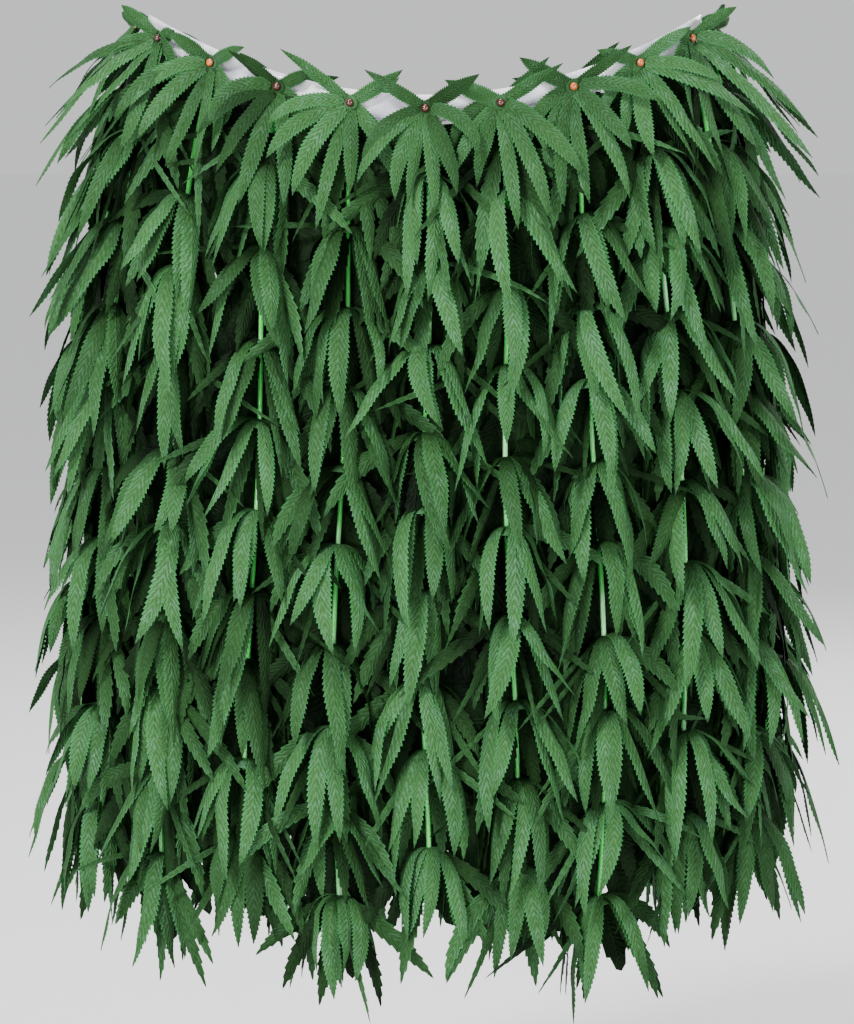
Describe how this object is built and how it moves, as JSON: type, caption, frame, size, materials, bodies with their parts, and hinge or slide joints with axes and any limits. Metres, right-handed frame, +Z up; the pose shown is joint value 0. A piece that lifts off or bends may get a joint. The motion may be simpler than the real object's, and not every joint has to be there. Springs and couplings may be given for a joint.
{
  "type": "leaf hula skirt, worn form without a wearer",
  "caption": "Artificial-leaf hula skirt in its worn, hollow shape: a clear waistband riveted to hanging strands of narrow serrated leaves on plastic stems.",
  "frame": {"origin": "middle of the waist, level with the centre line of the waistband at the hips", "axes": "+Z up, the wearer faces -Y and the skirt closes at the back, +X is the wearer's left"},
  "size_m": [0.4331, 0.3243, 0.5309],
  "materials": {
    "leaf": "matte woven polyester, stiffened and embossed with leaf veins",
    "stem": "glossy bright green moulded plastic",
    "band": "clear glossy film",
    "bead": "glossy translucent amber to dark red",
    "patch": "white hook and loop tape"
  },
  "bodies": {
    "root": {"waistband": "band", "closure_hook_patch": "patch", "closure_loop_patch": "patch", "strand_01": "leaf", "rivet_01": "bead", "strand_02": "leaf", "rivet_02": "bead", "strand_03": "leaf", "rivet_03": "bead", "strand_04": "leaf", "rivet_04": "bead", "strand_05": "leaf", "rivet_05": "bead", "strand_06": "leaf", "rivet_06": "bead", "strand_07": "leaf", "rivet_07": "bead", "strand_08": "leaf", "rivet_08": "bead", "strand_09": "leaf", "rivet_09": "bead", "strand_10": "leaf", "rivet_10": "bead", "strand_11": "leaf", "rivet_11": "bead", "strand_12": "leaf", "rivet_12": "bead", "strand_13": "leaf", "rivet_13": "bead", "strand_14": "leaf", "rivet_14": "bead", "strand_15": "leaf", "rivet_15": "bead", "strand_16": "leaf", "rivet_16": "bead", "strand_17": "leaf", "rivet_17": "bead", "strand_18": "leaf", "rivet_18": "bead", "strand_19": "leaf", "rivet_19": "bead", "strand_20": "leaf", "rivet_20": "bead"}
  },
  "joints": []
}
